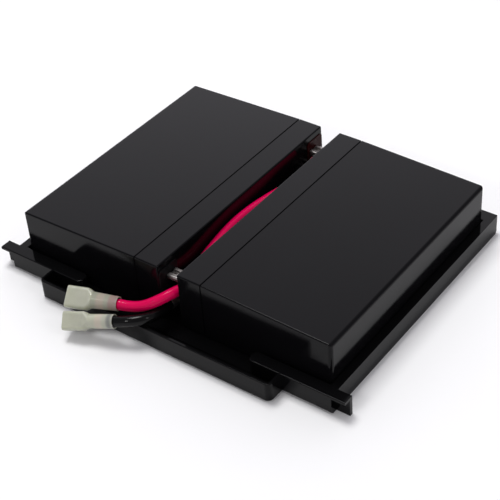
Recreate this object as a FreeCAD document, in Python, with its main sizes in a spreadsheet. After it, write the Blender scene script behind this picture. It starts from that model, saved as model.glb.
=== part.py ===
import FreeCAD, Part
import math
import os
import Sketcher

# UPS battery cartridge: two slim 6 V lead-acid batteries lying in a moulded tray, wired in series.
#
# X runs to the right, Y from the tray's front to its back and Z up. The origin is on the shelf surface,
# under the middle of the tray.

Vector = FreeCAD.Vector
doc = FreeCAD.newDocument("battery_cartridge")


# ---------------------------------------------------------------- driving sizes, in millimetres

SIZES = [
    # the battery, a standard slim 6 V block
    ("battery_length", 151.0, "along Y"),
    ("battery_height", 94.0, "from the lid's face to the container's base"),
    ("battery_thickness", 34.0, "at the lid, along Z"),
    ("lid_height", 14.8, "from the lid's face to the seam"),
    ("container_draft", 2.2, "how much thinner the container is at its base"),
    ("container_wall", 2.2, ""),
    ("container_base", 2.5, ""),
    ("partition", 1.8, "wall between two cells"),
    ("seam_width", 0.8, "groove between lid and container"),
    ("seam_depth", 0.6, ""),
    ("battery_edge", 0.8, "radius of the battery's outer edges"),
    ("base_edge", 2.0, "radius round the container's base"),
    # the lid's fittings
    ("lid_deck", 2.0, "wall between vent chamber and cells"),
    ("vent_cover_width", 17.0, ""),
    ("vent_cover_thickness", 1.6, ""),
    ("vent_cover_clearance", 0.15, ""),
    ("vent_land", 1.5, "ledge on which the vent cover is welded"),
    ("vent_end_gap", 0.8, "between the outer valve caps and the chamber's ends"),
    ("vent_chamber", 6.4, "depth below the vent cover"),
    ("spigot_diameter", 6.0, "valve seat"),
    ("spigot_bore", 3.0, ""),
    ("spigot_height", 4.4, ""),
    ("valve_wall", 1.2, "rubber cap's side wall and top"),
    ("valve_skirt", 3.6, "how far the cap reaches down its seat"),
    # terminals
    ("terminal_inset", 10.0, "from the battery's end to the blade's middle"),
    ("terminal_offset", 6.5, "from the lid's middle line to the blade's middle"),
    ("blade_width", 6.35, ""),
    ("blade_thickness", 0.8, ""),
    ("blade_height", 6.2, "above the lid's face"),
    ("blade_hole", 1.8, ""),
    ("seal_length", 14.4, ""),
    ("seal_width", 13.0, ""),
    ("seal_proud", 0.5, "above the lid's face"),
    ("seal_sunk", 1.5, "below the lid's face"),
    ("seal_corner", 2.0, ""),
    ("post_diameter", 5.0, "lead post under the blade"),
    # the cells
    ("negative_plate", 1.6, "thickness"),
    ("positive_plate", 2.5, "thickness"),
    ("stack_clearance", 0.3, "between plate stack and container wall"),
    ("plate_side_gap", 0.8, "between plates and the cell's side walls"),
    ("plate_base_gap", 1.0, "between plates and the container's base"),
    ("plate_head_gap", 11.0, "from the seam to the plates"),
    ("separator_margin", 0.6, "how far the glass mat stands out past the plates"),
    ("lug_width", 8.0, ""),
    ("strap_width", 10.0, ""),
    ("strap_thickness", 4.0, ""),
    ("strap_offset", 14.5, "from the cell's middle to the strap's middle"),
    ("strap_head_gap", 3.0, "from the seam to the strap"),
    ("link_diameter", 3.6, "weld through the wall between two cells"),
    # the tray
    ("battery_gap", 12.6, "between the two lids"),
    ("bay_side_gap", 0.5, "battery to bay wall, at the container's base"),
    ("bay_front_gap", 1.6, ""),
    ("bay_back_gap", 0.6, ""),
    ("side_ledge", 4.7, "width of the rim's top face"),
    ("front_ledge", 7.4, ""),
    ("back_ledge", 7.9, ""),
    ("rim_height", 12.2, "top of the rim above the shelf"),
    ("tray_wall", 1.6, ""),
    ("floor_thickness", 1.6, ""),
    ("floor_lift", 1.8, "underside of the floor above the shelf"),
    ("tape_thickness", 0.6, ""),
    ("tape_width", 20.0, ""),
    ("tape_inset", 12.0, "from the battery's ends to the tape's ends"),
    ("pocket_width", 152.0, "outside"),
    ("pocket_depth", 10.0, "how far the pocket stands out in front"),
    ("pocket_lift", 1.2, "underside of the pocket above the shelf"),
    ("mouth_width", 111.0, "opening between the bay and the pocket"),
    ("pocket_corner", 3.0, "outer corner radius"),
    ("mouth_corner", 3.0, "corner radius of the rim's two free ends"),
    ("rim_corner", 0.6, ""),
    ("runner_lead", 1.6, "chamfer on the lower ends of the side skirts"),
    ("tray_edge", 0.5, "radius of the rim's top edge"),
    ("ear_width", 8.0, ""),
    ("ear_tab_depth", 6.4, ""),
    ("ear_plate", 2.0, "thickness"),
    ("ear_hole", 3.2, "diameter"),
    ("ear_hole_height", 6.2, "above the shelf"),
    # wiring
    ("lead_diameter", 5.8, "over the insulation"),
    ("jumper_diameter", 4.6, "over the insulation"),
    ("flag_width", 7.6, ""),
    ("flag_thickness", 3.0, ""),
    ("flag_height", 6.6, "along the blade"),
    ("flag_stand", 0.3, "between the flag and the seal"),
    ("flag_lip_gap", 3.0, "between the two rolled edges"),
    ("flag_slot_play", 0.1, "around the blade"),
    ("flag_axis", 7.9, "from the lid's face to the wire's axis"),
    ("crimp_wall", 0.3, "metal around the wire's insulation"),
    ("crimp_length", 5.0, ""),
    ("housing_length", 29.0, ""),
    ("housing_barrel", 7.6, "diameter at the wire's end"),
    ("housing_width", 10.0, "at the mouth"),
    ("housing_thickness", 6.0, "at the mouth"),
    ("housing_mouth", 11.5, "length of the flat part"),
    ("housing_shoulder", 3.0, "length of the part between flat and round"),
    ("housing_wall", 1.0, ""),
    ("housing_corner", 1.6, ""),
    ("grip_length", 5.0, "how far the wire reaches into the housing"),
    ("grip_wall", 0.3, "metal sleeve round the wire"),
    ("grip_play", 0.1, ""),
    ("core_diameter", 4.4, "crimp on the bare wire"),
    ("core_length", 7.0, ""),
    ("receptacle_length", 7.6, ""),
    ("receptacle_neck", 3.2, "width of the strip behind the receptacle"),
    ("receptacle_setback", 3.2, "from the housing's mouth"),
    ("red_lead_run", 20.0, "straight out of the flag's barrel"),
    ("black_lead_run", 9.0, "straight out of the flag's barrel"),
    ("jumper_front_run", 9.5, "straight out of the front flag's barrel"),
    ("jumper_back_run", 12.0, "straight into the back flag's barrel"),
]

CELLS = 3
NEGATIVE_PLATES = 5
POSITIVE_PLATES = NEGATIVE_PLATES - 1

# Places worked out from the sizes above.
PLACES = [
    ("tray_depth", "=Sizes.pocket_depth + Sizes.front_ledge + Sizes.bay_front_gap + Sizes.battery_length"
                   " + Sizes.bay_back_gap + Sizes.back_ledge"),
    ("pocket_front", "=-tray_depth / 2"),
    ("rim_front", "=pocket_front + Sizes.pocket_depth"),
    ("bay_front", "=rim_front + Sizes.front_ledge"),
    ("battery_front", "=bay_front + Sizes.bay_front_gap"),
    ("battery_middle", "=battery_front + Sizes.battery_length / 2"),
    ("battery_back", "=battery_front + Sizes.battery_length"),
    ("bay_back", "=battery_back + Sizes.bay_back_gap"),
    ("rim_back", "=bay_back + Sizes.back_ledge"),
    ("bay_half", "=Sizes.battery_gap / 2 + Sizes.battery_height + Sizes.bay_side_gap"),
    ("rim_half", "=bay_half + Sizes.side_ledge"),
    ("ear_half", "=rim_half + Sizes.ear_width"),
    ("pocket_half", "=Sizes.pocket_width / 2"),
    ("mouth_half", "=Sizes.mouth_width / 2"),
    ("floor_top", "=Sizes.floor_lift + Sizes.floor_thickness"),
    ("pocket_floor", "=Sizes.pocket_lift + Sizes.floor_thickness"),
    ("battery_base", "=floor_top + Sizes.tape_thickness"),
    ("cell_width", "=(Sizes.battery_length - 2 * Sizes.container_wall"
                   f" - {CELLS - 1} * Sizes.partition) / {CELLS}"),
    ("cell_pitch", "=cell_width + Sizes.partition"),
    ("container_inner_end", "=Sizes.battery_height - Sizes.container_base"),
    ("base_thickness", "=Sizes.battery_thickness - Sizes.container_draft"),
    ("stack_low", "=Sizes.container_wall + Sizes.stack_clearance"),
    ("stack_high", "=base_thickness - Sizes.container_wall - Sizes.stack_clearance"),
    ("plate_pitch", f"=(stack_high - stack_low - Sizes.negative_plate) / {POSITIVE_PLATES}"),
    ("separator_thickness", "=(plate_pitch - Sizes.negative_plate - Sizes.positive_plate) / 2"),
    ("plate_head", "=Sizes.lid_height + Sizes.plate_head_gap"),
    ("plate_foot", "=container_inner_end - Sizes.plate_base_gap"),
    ("plate_half", "=cell_width / 2 - Sizes.plate_side_gap - Sizes.separator_margin"),
    ("strap_head", "=Sizes.lid_height + Sizes.strap_head_gap"),
    ("strap_foot", "=strap_head + Sizes.strap_thickness"),
    ("link_height", "=(strap_head + strap_foot) / 2"),
    ("battery_middle_height", "=Sizes.battery_thickness / 2"),
    ("terminal_place", "=Sizes.battery_length / 2 - Sizes.terminal_inset"),
    ("seal_place", "=Sizes.battery_length / 2 - Sizes.battery_edge - Sizes.seal_length / 2"),
    ("chamber_floor", "=Sizes.vent_cover_thickness + Sizes.vent_chamber"),
    ("lid_ceiling", "=chamber_floor + Sizes.lid_deck"),
    ("valve_head", "=chamber_floor - Sizes.spigot_height - Sizes.valve_wall"),
    ("valve_diameter", "=Sizes.spigot_diameter + 2 * Sizes.valve_wall"),
    ("vent_cover_half", "=cell_pitch + valve_diameter / 2 + Sizes.vent_end_gap + Sizes.vent_land"),
]


def fill_sheet(name, rows):
    """A spreadsheet with one named value in each row."""
    sheet = doc.addObject("Spreadsheet::Sheet", name)
    for row, entry in enumerate(rows, start=1):
        alias, value = entry[0], entry[1]
        sheet.set(f"A{row}", entry[2] if len(entry) > 2 else alias.replace("_", " "))
        sheet.set(f"B{row}", str(value))
        sheet.setAlias(f"B{row}", alias)
    return sheet


sizes = fill_sheet("Sizes", SIZES)
doc.recompute()
places = fill_sheet("Places", PLACES)
doc.recompute()


def size(expression):
    """The value of an expression on the two sheets, in millimetres."""
    value = sizes.evalExpression(expression)
    return float(getattr(value, "Value", value))


# ---------------------------------------------------------------- small modelling helpers

def new_body(label):
    """A PartDesign body that becomes the sub-part of that name."""
    body = doc.addObject("PartDesign::Body", label)
    body.Label = label
    return body


def sketch(body, plane, name, lift="0"):
    """A sketch on one of the body's origin planes, raised along the plane's normal."""
    drawing = body.newObject("Sketcher::SketchObject", name)
    support = next(item for item in body.Origin.OriginFeatures if item.Role == plane)
    drawing.AttachmentSupport = [(support, "")]
    drawing.MapMode = "FlatFace"
    drawing.setExpression("AttachmentOffset.Base.z", lift)
    return drawing


def outline(drawing, corners):
    """A closed polygon whose every corner is held by two expressions."""
    first = drawing.GeometryCount
    points = [Vector(size(x), size(y), 0) for x, y in corners]
    count = len(points)
    for number in range(count):
        drawing.addGeometry(Part.LineSegment(points[number], points[(number + 1) % count]), False)
    for number in range(count):
        following = first + (number + 1) % count
        drawing.addConstraint(Sketcher.Constraint("Coincident", first + number, 2, following, 1))
    for number, (x, y) in enumerate(corners):
        for kind, text, value in (("DistanceX", x, points[number].x), ("DistanceY", y, points[number].y)):
            index = drawing.addConstraint(Sketcher.Constraint(kind, -1, 1, first + number, 1, value))
            drawing.setExpression(f"Constraints[{index}]", text)


def rectangle(drawing, left, right, bottom, top):
    outline(drawing, [(left, bottom), (right, bottom), (right, top), (left, top)])


def circle(drawing, x, y, diameter):
    centre = Vector(size(x), size(y), 0)
    ring = drawing.addGeometry(Part.Circle(centre, Vector(0, 0, 1), size(diameter) / 2), False)
    for kind, text, value in (("DistanceX", x, centre.x), ("DistanceY", y, centre.y)):
        index = drawing.addConstraint(Sketcher.Constraint(kind, -1, 1, ring, 3, value))
        drawing.setExpression(f"Constraints[{index}]", text)
    index = drawing.addConstraint(Sketcher.Constraint("Diameter", ring, size(diameter)))
    drawing.setExpression(f"Constraints[{index}]", diameter)


def pad(body, drawing, length, reverse=False, both=False):
    """Extrude a sketch along its normal, against it, or to both sides."""
    feature = body.newObject("PartDesign::Pad", drawing.Name + "_pad")
    feature.Profile = drawing
    feature.setExpression("Length", length)
    feature.Reversed = reverse
    feature.SideType = "Symmetric" if both else "One side"
    drawing.Visibility = False
    doc.recompute()
    return feature


def pocket(body, drawing, length, reverse=False, both=False):
    """Cut a sketch's outline out of the body, and make sure that it did cut."""
    before = body.Shape.Volume
    feature = body.newObject("PartDesign::Pocket", drawing.Name + "_cut")
    feature.Profile = drawing
    feature.setExpression("Length", length)
    feature.Reversed = reverse
    feature.SideType = "Symmetric" if both else "One side"
    drawing.Visibility = False
    doc.recompute()
    if body.Shape.Volume > before - 1e-6:
        raise RuntimeError(f"{feature.Name} cuts nothing")
    return feature


def pattern(body, feature, plane_axis, count, length, reverse=False):
    """Repeat one feature in a straight line."""
    row = body.newObject("PartDesign::LinearPattern", feature.Name + "_row")
    axis = next(item for item in body.Origin.OriginFeatures if item.Role == plane_axis)
    row.Originals = [feature]
    row.Direction = (axis, [""])
    row.setExpression("Length", length)
    row.Occurrences = round(count)
    row.Reversed = reverse
    body.Tip = row
    doc.recompute()
    return row


def edges_where(shape, wanted):
    """Names of the straight edges whose middle point and direction pass a test."""
    names = []
    for number, edge in enumerate(shape.Edges, start=1):
        start, end = edge.Vertexes[0].Point, edge.Vertexes[-1].Point
        span = end - start
        if span.Length > 1e-6 and near(edge.Length, span.Length):
            if wanted((start + end) * 0.5, span / span.Length):
                names.append(f"Edge{number}")
    return names


def fillet(body, wanted, radius):
    """Round the straight edges that pass a test."""
    base = body.Tip
    names = edges_where(base.Shape, wanted)
    if not names:
        raise RuntimeError(f"no edge to round on {body.Label}")
    feature = body.newObject("PartDesign::Fillet", f"{body.Name}_round")
    feature.Base = (base, names)
    feature.setExpression("Radius", radius)
    doc.recompute()
    return feature


def near(a, b):
    return abs(a - b) < 1e-4


def upright(direction):
    return near(abs(direction.z), 1)


# ---------------------------------------------------------------- tray: one moulding

def make_tray():
    """Bay, hat-section rim, front pocket and two ears, moulded in one piece."""
    tray = new_body("tray")
    rim = sketch(tray, "XY_Plane", "tray_rim")
    rectangle(rim, "-Places.rim_half", "Places.rim_half", "Places.rim_front", "Places.rim_back")
    pad(tray, rim, "Sizes.rim_height")
    nose = sketch(tray, "XY_Plane", "tray_pocket", "Sizes.pocket_lift")
    rectangle(nose, "-Places.pocket_half", "Places.pocket_half", "Places.pocket_front", "Places.rim_front")
    pad(tray, nose, "Sizes.rim_height - Sizes.pocket_lift")

    # The side skirts stand on the shelf; floor, front and back walls end higher.
    relief = sketch(tray, "XY_Plane", "tray_relief")
    rectangle(relief, "-(Places.rim_half - Sizes.tray_wall)", "Places.rim_half - Sizes.tray_wall",
              "Places.rim_front", "Places.rim_back")
    pocket(tray, relief, "Sizes.floor_lift", reverse=True)

    # The skirts are the runners on which the tray slides into its bay, so their lower ends are chamfered.
    ends = sketch(tray, "YZ_Plane", "tray_runner_ends")
    lead = "Sizes.runner_lead"
    for end, inward in (("Places.rim_front", "+"), ("Places.rim_back", "-")):
        outline(ends, [(end, "0"), (f"{end} {inward} {lead}", "0"), (end, lead)])
    pocket(tray, ends, "2 * Places.rim_half", both=True)

    front_x, front_y = size("Places.pocket_half"), size("Places.pocket_front")
    fillet(tray, lambda p, d: upright(d) and near(abs(p.x), front_x) and near(p.y, front_y),
           "Sizes.pocket_corner")
    side_x = size("Places.rim_half")
    back_y, rim_y = size("Places.rim_back"), size("Places.rim_front")
    fillet(tray, lambda p, d: upright(d) and near(abs(p.x), side_x) and near(p.y, back_y),
           "Sizes.rim_corner")

    # The bay for the batteries, the pocket in front and the mouth between them.
    bay = sketch(tray, "XY_Plane", "tray_bay", "Sizes.rim_height")
    rectangle(bay, "-Places.bay_half", "Places.bay_half", "Places.bay_front", "Places.bay_back")
    pocket(tray, bay, "Sizes.rim_height - Places.floor_top")
    hollow = sketch(tray, "XY_Plane", "tray_hollow", "Sizes.rim_height")
    rectangle(hollow, "-(Places.pocket_half - Sizes.tray_wall)", "Places.pocket_half - Sizes.tray_wall",
              "Places.pocket_front + Sizes.tray_wall", "Places.rim_front")
    pocket(tray, hollow, "Sizes.rim_height - Places.pocket_floor")
    mouth = sketch(tray, "XY_Plane", "tray_mouth", "Sizes.rim_height")
    rectangle(mouth, "-Places.mouth_half", "Places.mouth_half", "Places.rim_front", "Places.bay_front")
    pocket(tray, mouth, "Sizes.rim_height - Places.floor_top")
    mouth_x, bay_y = size("Places.mouth_half"), size("Places.bay_front")
    fillet(tray, lambda p, d: upright(d) and near(abs(p.x), mouth_x) and (near(p.y, rim_y) or near(p.y, bay_y)),
           "Sizes.mouth_corner")
    inner_x, inner_y = front_x - size("Sizes.tray_wall"), front_y + size("Sizes.tray_wall")
    fillet(tray, lambda p, d: upright(d) and near(abs(p.x), inner_x) and near(p.y, inner_y),
           "Sizes.pocket_corner - Sizes.tray_wall")

    # The rim is a hat section, open underneath, from one side of the mouth round the back to the other.
    under = sketch(tray, "XY_Plane", "tray_under")
    outer_x, inner_x = "(Places.rim_half - Sizes.tray_wall)", "(Places.bay_half + Sizes.tray_wall)"
    free_x = "(Places.mouth_half + Sizes.tray_wall)"
    front_out, front_in = "Places.rim_front + Sizes.tray_wall", "Places.bay_front - Sizes.tray_wall"
    back_out, back_in = "Places.rim_back - Sizes.tray_wall", "Places.bay_back + Sizes.tray_wall"
    outline(under, [
        (free_x, front_out), (outer_x, front_out), (outer_x, back_out), ("-" + outer_x, back_out),
        ("-" + outer_x, front_out), ("-" + free_x, front_out), ("-" + free_x, front_in),
        ("-" + inner_x, front_in), ("-" + inner_x, back_in), (inner_x, back_in),
        (inner_x, front_in), (free_x, front_in)])
    pocket(tray, under, "Sizes.rim_height - Sizes.tray_wall", reverse=True)

    # Two ears at the front corners: a tab level with the rim, and a plate with a screw hole below it.
    tab = sketch(tray, "XY_Plane", "tray_tabs", "Sizes.rim_height - Sizes.tray_wall")
    plate = sketch(tray, "XY_Plane", "tray_ear_plates")
    tab_back = "Places.rim_front + Sizes.ear_tab_depth"
    for near_x, far_x in (("Places.rim_half", "Places.ear_half"), ("-Places.ear_half", "-Places.rim_half")):
        rectangle(tab, near_x, far_x, "Places.rim_front", tab_back)
        rectangle(plate, near_x, far_x, tab_back + " - Sizes.ear_plate", tab_back)
    pad(tray, tab, "Sizes.tray_wall")
    pad(tray, plate, "Sizes.rim_height")
    holes = sketch(tray, "XZ_Plane", "tray_ear_holes", "-(Places.rim_front)")
    for middle in ("(Places.rim_half + Places.ear_half) / 2", "-(Places.rim_half + Places.ear_half) / 2"):
        circle(holes, middle, "Sizes.ear_hole_height", "Sizes.ear_hole")
    pocket(tray, holes, "Sizes.ear_tab_depth + Sizes.ear_plate", reverse=False)

    # The long top edges at the front are softly rounded, as the mould leaves them.
    top_z = size("Sizes.rim_height")
    lengthwise = [size("Places.rim_front"), size("Places.pocket_front")]
    fillet(tray, lambda p, d: near(p.z, top_z) and near(abs(d.x), 1)
           and any(near(p.y, place) for place in lengthwise), "Sizes.tray_edge")
    return tray


# ---------------------------------------------------------------- batteries

# Each battery is drawn in its own frame: X from the lid's outer face down into the battery, Y along its
# length and Z up from the broad side it lies on. The left battery is turned half a turn about Z.
SIDES = {
    "left": {"turn": 180.0, "sign": "-", "positive_end": -1, "terminal_side": 1},
    "right": {"turn": 0.0, "sign": "", "positive_end": 1, "terminal_side": -1},
}


def seat(item, side):
    """Put a sub-part drawn in the battery's frame where its battery lies."""
    setting = SIDES[side]
    item.Placement = FreeCAD.Placement(Vector(0, 0, 0), FreeCAD.Rotation(Vector(0, 0, 1), setting["turn"]))
    item.setExpression("Placement.Base.x", setting["sign"] + "Sizes.battery_gap / 2")
    item.setExpression("Placement.Base.y", "Places.battery_middle")
    item.setExpression("Placement.Base.z", "Places.battery_base")


def make_container(side):
    """Drafted jar with three cells, open towards the lid, and a recessed neck that forms the seam."""
    jar = new_body(side + "_container")
    profile = sketch(jar, "XZ_Plane", side + "_jar")
    outline(profile, [
        ("Sizes.lid_height + Sizes.seam_width", "0"), ("Sizes.battery_height", "0"),
        ("Sizes.battery_height", "Places.base_thickness"),
        ("Sizes.lid_height + Sizes.seam_width", "Sizes.battery_thickness")])
    pad(jar, profile, "Sizes.battery_length", both=True)
    base_x, half = size("Sizes.battery_height"), size("Sizes.battery_length") / 2
    thick, low = size("Sizes.battery_thickness"), size("Places.base_thickness")

    def round_base(point, direction):
        return near(point.x, base_x) and abs(direction.x) < 0.1

    def along_jar(point, direction):
        return near(abs(point.y), half) and abs(direction.x) > 0.9 and (near(point.z, 0) or point.z > low)

    fillet(jar, round_base, "Sizes.base_edge")
    fillet(jar, along_jar, "Sizes.battery_edge")
    neck = sketch(jar, "YZ_Plane", side + "_neck", "Sizes.lid_height + Sizes.seam_width")
    inset = "Sizes.seam_depth"
    rectangle(neck, f"-(Sizes.battery_length / 2 - {inset})", f"Sizes.battery_length / 2 - {inset}",
              inset, f"Sizes.battery_thickness - {inset}")
    pad(jar, neck, "Sizes.seam_width", reverse=True)
    cell = sketch(jar, "XZ_Plane", side + "_cell", "Places.cell_pitch")
    inner_high = "Sizes.battery_thickness - Sizes.container_wall"
    outline(cell, [
        ("Sizes.lid_height", "Sizes.container_wall"), ("Places.container_inner_end", "Sizes.container_wall"),
        ("Places.container_inner_end", "Places.base_thickness - Sizes.container_wall"),
        ("Sizes.lid_height", inner_high)])
    cavity = pocket(jar, cell, "Places.cell_width", both=True)
    pattern(jar, cavity, "Y_Axis", CELLS, "(%d) * Places.cell_pitch" % (CELLS - 1))
    weld = sketch(jar, "XZ_Plane", side + "_weld_holes")
    circle(weld, "Places.link_height", "Places.battery_middle_height", "Sizes.link_diameter")
    pocket(jar, weld, "Places.cell_pitch + 2 * Sizes.partition", both=True)
    seat(jar, side)
    if not near(jar.Shape.BoundBox.ZLength, thick):
        raise RuntimeError("the container has lost its thickness")
    return jar


def make_lid(side):
    """Lid with a vent chamber on its face, three valve seats, two terminal wells and ribs on the cells."""
    lid = new_body(side + "_lid")
    block = sketch(lid, "YZ_Plane", side + "_lid_block")
    rectangle(block, "-Sizes.battery_length / 2", "Sizes.battery_length / 2", "0", "Sizes.battery_thickness")
    pad(lid, block, "Sizes.lid_height")
    half, thick = size("Sizes.battery_length") / 2, size("Sizes.battery_thickness")

    def outside(point, direction):
        at_face = near(point.x, 0)
        at_end = near(abs(point.y), half)
        lengthwise = near(abs(direction.x), 1)
        return (at_face and not lengthwise) or (at_end and lengthwise)

    fillet(lid, outside, "Sizes.battery_edge")
    cover = sketch(lid, "YZ_Plane", side + "_cover_seat")
    middle = "Places.battery_middle_height"
    rectangle(cover, "-Places.vent_cover_half", "Places.vent_cover_half",
              f"{middle} - Sizes.vent_cover_width / 2", f"{middle} + Sizes.vent_cover_width / 2")
    pocket(lid, cover, "Sizes.vent_cover_thickness", reverse=True)
    chamber = sketch(lid, "YZ_Plane", side + "_chamber", "Sizes.vent_cover_thickness")
    half_length = "(Places.vent_cover_half - Sizes.vent_land)"
    half_width = "(Sizes.vent_cover_width / 2 - Sizes.vent_land)"
    rectangle(chamber, "-" + half_length, half_length, f"{middle} - {half_width}", f"{middle} + {half_width}")
    pocket(lid, chamber, "Sizes.vent_chamber", reverse=True)
    spigots = sketch(lid, "YZ_Plane", side + "_spigots", "Places.chamber_floor")
    bores = sketch(lid, "YZ_Plane", side + "_spigot_bores")
    rooms = sketch(lid, "YZ_Plane", side + "_rooms", "Sizes.lid_height")
    for number in range(CELLS):
        place = f"({number - 1}) * Places.cell_pitch"
        circle(spigots, place, middle, "Sizes.spigot_diameter")
        circle(bores, place, middle, "Sizes.spigot_bore")
        rectangle(rooms, f"{place} - Places.cell_width / 2", f"{place} + Places.cell_width / 2",
                  "Sizes.container_wall", "Sizes.battery_thickness - Sizes.container_wall")
    pad(lid, spigots, "Sizes.spigot_height", reverse=True)
    pocket(lid, rooms, "Sizes.lid_height - Places.lid_ceiling")
    pocket(lid, bores, "Sizes.lid_height", reverse=True)
    wells = sketch(lid, "YZ_Plane", side + "_wells")
    posts = sketch(lid, "YZ_Plane", side + "_post_holes")
    for end in (1, -1):
        wall = terminal_height(side)
        rectangle(wells, f"({end}) * Places.seal_place - Sizes.seal_length / 2",
                  f"({end}) * Places.seal_place + Sizes.seal_length / 2",
                  f"{wall} - Sizes.seal_width / 2", f"{wall} + Sizes.seal_width / 2")
        circle(posts, f"({end}) * Places.terminal_place", wall, "Sizes.post_diameter")
    pocket(lid, wells, "Sizes.seal_sunk", reverse=True)
    pocket(lid, posts, "Sizes.lid_height", reverse=True)
    wall_z, spread = size(terminal_height(side)), size("Sizes.seal_width") / 2
    ends = [size("Places.seal_place") - size("Sizes.seal_length") / 2,
            size("Places.seal_place") + size("Sizes.seal_length") / 2]
    fillet(lid, lambda p, d: near(abs(d.x), 1) and near(abs(p.z - wall_z), spread)
           and any(near(abs(p.y), place) for place in ends) and p.x < size("Sizes.seal_sunk"),
           "Sizes.seal_corner")
    seat(lid, side)
    return lid


def terminal_height(side):
    """Both blades of a battery stand off the lid's middle line, to the same side."""
    return f"(Places.battery_middle_height + ({SIDES[side]['terminal_side']}) * Sizes.terminal_offset)"


def make_vent_fittings(side):
    """The welded strip over the vent chamber and a rubber cap on each valve seat."""
    strip = new_body(side + "_vent_cover")
    face = sketch(strip, "YZ_Plane", side + "_strip")
    half_length = "(Places.vent_cover_half - Sizes.vent_cover_clearance)"
    half_width = "(Sizes.vent_cover_width / 2 - Sizes.vent_cover_clearance)"
    middle = "Places.battery_middle_height"
    rectangle(face, "-" + half_length, half_length, f"{middle} - {half_width}", f"{middle} + {half_width}")
    pad(strip, face, "Sizes.vent_cover_thickness")
    seat(strip, side)
    parts = [strip]
    for number in range(CELLS):
        cap = new_body(f"{side}_valve_{number + 1}")
        place = f"({number - 1}) * Places.cell_pitch"
        disc = sketch(cap, "YZ_Plane", f"{side}_cap_{number + 1}", "Places.valve_head")
        circle(disc, place, middle, "Places.valve_diameter")
        pad(cap, disc, "Sizes.valve_wall + Sizes.valve_skirt")
        bore = sketch(cap, "YZ_Plane", f"{side}_cap_bore_{number + 1}", "Places.valve_head + Sizes.valve_wall")
        circle(bore, place, middle, "Sizes.spigot_diameter")
        pocket(cap, bore, "Sizes.valve_skirt", reverse=True)
        seat(cap, side)
        parts.append(cap)
    return parts


def make_terminals(side):
    """At each end a push-on blade on a round foot, and the resin seal that holds it in the lid's well."""
    parts = []
    for polarity, end in (("positive", SIDES[side]["positive_end"]), ("negative", -SIDES[side]["positive_end"])):
        place, height = f"({end}) * Places.terminal_place", terminal_height(side)
        blade = new_body(f"{side}_{polarity}_blade")
        flat = sketch(blade, "YZ_Plane", f"{side}_{polarity}_flat", "-Sizes.blade_height")
        rectangle(flat, f"{place} - Sizes.blade_width / 2", f"{place} + Sizes.blade_width / 2",
                  f"{height} - Sizes.blade_thickness / 2", f"{height} + Sizes.blade_thickness / 2")
        pad(blade, flat, "Sizes.blade_height + Sizes.seal_sunk")
        tip = -size("Sizes.blade_height")
        fillet(blade, lambda p, d: near(p.x, tip) and near(abs(d.z), 1), "Sizes.blade_width / 6")
        hole = sketch(blade, "XY_Plane", f"{side}_{polarity}_hole", height + " - Sizes.blade_thickness")
        circle(hole, "-Sizes.blade_height / 2", place, "Sizes.blade_hole")
        pocket(blade, hole, "2 * Sizes.blade_thickness", reverse=True)
        seat(blade, side)

        seal = new_body(f"{side}_{polarity}_seal")
        plan = sketch(seal, "YZ_Plane", f"{side}_{polarity}_plan", "-Sizes.seal_proud")
        rectangle(plan, f"({end}) * Places.seal_place - Sizes.seal_length / 2",
                  f"({end}) * Places.seal_place + Sizes.seal_length / 2",
                  f"{height} - Sizes.seal_width / 2", f"{height} + Sizes.seal_width / 2")
        pad(seal, plan, "Sizes.seal_proud + Sizes.seal_sunk")
        fillet(seal, lambda p, d: near(abs(d.x), 1), "Sizes.seal_corner")
        slot = sketch(seal, "YZ_Plane", f"{side}_{polarity}_slot", "-Sizes.seal_proud")
        rectangle(slot, f"{place} - Sizes.blade_width / 2", f"{place} + Sizes.blade_width / 2",
                  f"{height} - Sizes.blade_thickness / 2", f"{height} + Sizes.blade_thickness / 2")
        pocket(seal, slot, "Sizes.seal_proud + Sizes.seal_sunk", reverse=True)
        seat(seal, side)
        parts += [blade, seal]
    return parts


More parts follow.
